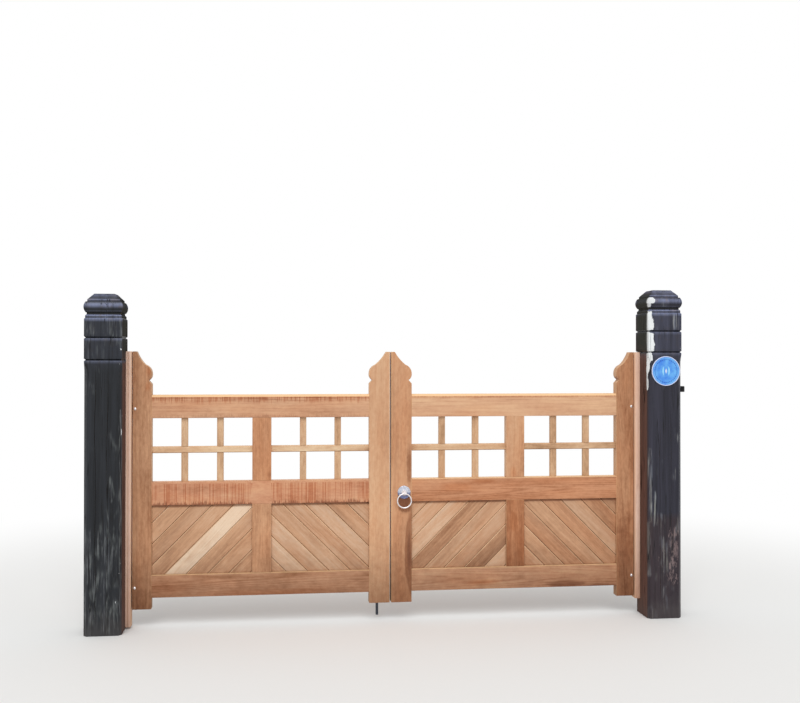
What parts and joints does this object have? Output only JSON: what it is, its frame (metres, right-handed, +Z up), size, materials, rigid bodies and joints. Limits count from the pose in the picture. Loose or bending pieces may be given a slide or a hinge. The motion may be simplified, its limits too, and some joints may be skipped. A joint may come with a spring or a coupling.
{
  "type": "double timber gate",
  "caption": "Framed double timber gate on moulded posts: ogee-headed stiles, lattice over diagonal boards, hinged leaves, drop bolt and ring latch.",
  "frame": {"origin": "centre of the left post's foot, on the lowest ground", "axes": "+X along the gateway to the right post, +Y the way the leaves open, -Y the road side, +Z up"},
  "size_m": [3.4425, 0.2442, 1.926],
  "materials": {
    "painted_post_timber": "old gloss paint, cracked and worn",
    "pale_batten_timber": "new sawn timber, bare",
    "stile_timber": "new planed timber, oiled",
    "rail_timber": "new planed timber, oiled, rain streaked",
    "board_timber": "new V-jointed boards, oiled",
    "hinge_iron": "black painted",
    "bolt_iron": "dark satin",
    "galvanised_steel": "bright galvanised",
    "plaque_enamel": "blue gloss with a pale rim"
  },
  "bodies": {
    "posts": {"left_post": "painted_post_timber", "right_post": "painted_post_timber", "left_strip": "pale_batten_timber", "right_strip": "pale_batten_timber", "plaque": "plaque_enamel", "left_hook_upper": "hinge_iron", "left_hook_lower": "hinge_iron", "right_hook_upper": "hinge_iron", "right_hook_lower": "hinge_iron", "right_post_stub": "bolt_iron"},
    "left_leaf": {"left_hanging_stile": "stile_timber", "left_meeting_stile": "stile_timber", "left_top_rail": "rail_timber", "left_middle_rail": "rail_timber", "left_bottom_rail": "rail_timber", "left_upper_muntin": "stile_timber", "left_lower_muntin": "stile_timber", "left_lattice_outer": "rail_timber", "left_lattice_inner": "rail_timber", "left_panel_outer": "board_timber", "left_panel_inner": "board_timber", "left_band_upper": "hinge_iron", "left_band_lower": "hinge_iron", "bolt_staple_upper": "bolt_iron", "bolt_staple_lower": "bolt_iron"},
    "right_leaf": {"right_hanging_stile": "stile_timber", "right_meeting_stile": "stile_timber", "right_top_rail": "rail_timber", "right_middle_rail": "rail_timber", "right_bottom_rail": "rail_timber", "right_upper_muntin": "stile_timber", "right_lower_muntin": "stile_timber", "right_lattice_outer": "rail_timber", "right_lattice_inner": "rail_timber", "right_panel_outer": "board_timber", "right_panel_inner": "board_timber", "right_band_upper": "hinge_iron", "right_band_lower": "hinge_iron", "front_rose": "galvanised_steel", "rear_rose": "galvanised_steel"},
    "bolt": {"drop_bolt": "bolt_iron"},
    "spindle": {"latch_spindle": "galvanised_steel"},
    "ring": {"latch_ring": "galvanised_steel"}
  },
  "joints": [
    {"name": "left_hinge", "type": "hinge", "parent": "posts", "child": "left_leaf", "pos_m": [0.1365, 0.114, 0.227], "axis": [0, 0, 1], "range_deg": [0, 90]},
    {"name": "right_hinge", "type": "hinge", "parent": "posts", "child": "right_leaf", "pos_m": [3.0685, 0.114, 0.227], "axis": [0, 0, -1], "range_deg": [0, 90]},
    {"name": "bolt_lift", "type": "slide", "parent": "left_leaf", "child": "bolt", "axis": [0, 0, 1], "range_m": [0, 0.12]},
    {"name": "spindle_turn", "type": "hinge", "parent": "right_leaf", "child": "spindle", "pos_m": [1.6815, 0.0415, 0.743], "axis": [0, 1, 0], "range_deg": [-40, 40]},
    {"name": "ring_swing", "type": "hinge", "parent": "spindle", "child": "ring", "pos_m": [1.6815, 0.022, 0.736], "axis": [-1, 0, 0], "range_deg": [0, 80]}
  ]
}
